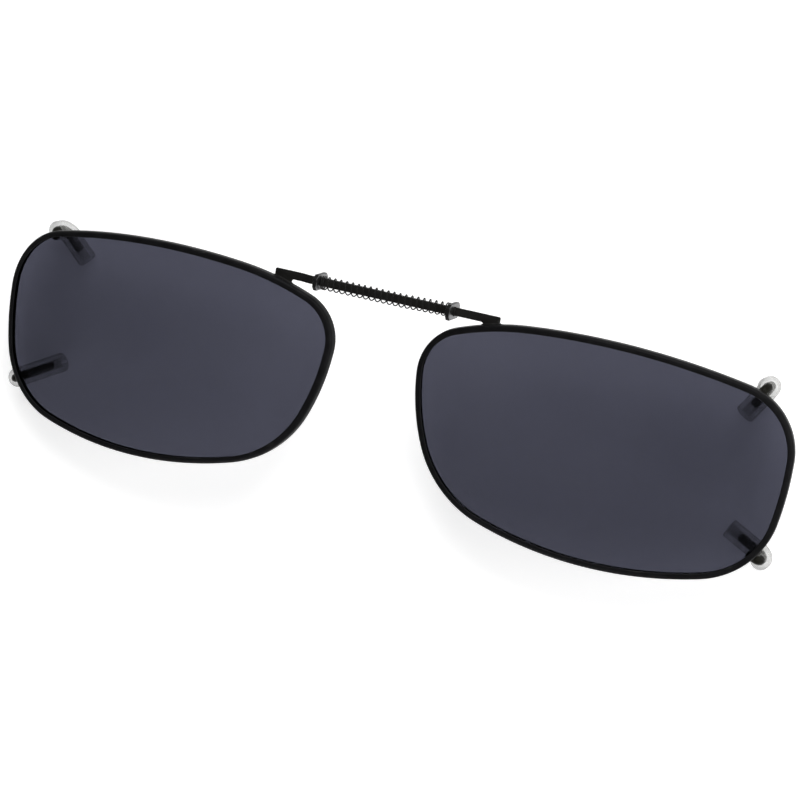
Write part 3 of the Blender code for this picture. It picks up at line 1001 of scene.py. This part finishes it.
def add_floor():
    """A large pale table top, lit from within like a light table."""
    shape = bmesh.new()
    bmesh.ops.create_grid(shape, x_segments=1, y_segments=1, size=FLOOR_SIZE / 2)
    data = bpy.data.meshes.new("floor")
    shape.to_mesh(data)
    shape.free()
    floor = bpy.data.objects.new("floor", data)
    bpy.context.scene.collection.objects.link(floor)
    paint = Paint("pale_table")
    grain = paint.spread(paint.noise(FLOOR_GRAIN), 0, 1)
    paint.set(Base_Color=paint.mix(grain, *FLOOR_TONES), Roughness=FLOOR_ROUGHNESS)
    paint.set(Emission_Color=(1, 1, 1, 1), Emission_Strength=FLOOR_GLOW)
    paint.shader.inputs["Specular IOR Level"].default_value = 0.0
    data.materials.append(paint.material)


def add_sky():
    """A studio dome: white round the horizon and dim overhead, so that the lenses stay dark."""
    world = bpy.data.worlds.new("studio")
    world.use_nodes = True
    nodes = world.node_tree.nodes
    links = world.node_tree.links
    place = nodes.new("ShaderNodeTexCoord")
    split = nodes.new("ShaderNodeSeparateXYZ")
    fade = nodes.new("ShaderNodeMapRange")
    fade.interpolation_type = "SMOOTHSTEP"
    for socket, value in zip(list(fade.inputs)[1:5], (*SKY_FADE, *SKY_LEVELS)):
        socket.default_value = value
    links.new(place.outputs["Generated"], split.inputs[0])
    links.new(split.outputs["Z"], fade.inputs[0])
    links.new(fade.outputs[0], nodes["Background"].inputs["Strength"])
    nodes["Background"].inputs["Color"].default_value = (1, 1, 1, 1)
    bpy.context.scene.world = world


def add_lamp(name, azimuth, elevation, size, power):
    """A soft square lamp that faces the object from an azimuth and elevation in degrees."""
    data = bpy.data.lights.new(name, "AREA")
    data.size = size
    data.energy = power
    lamp = bpy.data.objects.new(name, data)
    a = math.radians(azimuth)
    e = math.radians(elevation)
    away = Vector((math.sin(a) * math.cos(e), math.cos(a) * math.cos(e), math.sin(e)))
    lamp.location = away * LAMP_DISTANCE
    lamp.rotation_euler = away.to_track_quat("Z", "Y").to_euler()
    bpy.context.scene.collection.objects.link(lamp)


def add_camera():
    """The camera looks at the lenses' fronts, a little from their left and from above them."""
    turn = CAMERA_TURN
    lift = CAMERA_LIFT
    back = Vector((
        math.sin(turn) * math.cos(lift),
        -math.cos(turn) * math.cos(lift),
        math.sin(lift),
    ))
    level = (-back).cross(Vector((0, 0, 1))).normalized()
    upright = level.cross(-back)
    roll = Matrix.Rotation(CAMERA_ROLL, 3, back)
    worn = Matrix((roll @ level, roll @ upright, back)).transposed()
    lay_down = Matrix.Rotation(math.radians(-90), 3, "X")
    stand = back * CAMERA_DISTANCE + Vector((CAMERA_ASIDE, 0, CAMERA_ABOVE))
    data = bpy.data.cameras.new("camera")
    data.lens = CAMERA_LENS
    data.sensor_width = CAMERA_SENSOR
    data.clip_start = CAMERA_CLIP
    camera = bpy.data.objects.new("camera", data)
    place = lay_down @ stand + Vector((0, LENS_Y, LENS_Z))
    camera.matrix_world = Matrix.Translation(place) @ (lay_down @ worn).to_4x4()
    bpy.context.scene.collection.objects.link(camera)
    bpy.context.scene.camera = camera


build()
add_floor()
add_sky()
for lamp in LAMPS:
    add_lamp(*lamp)
add_camera()
bpy.context.scene.view_settings.view_transform = "Standard"
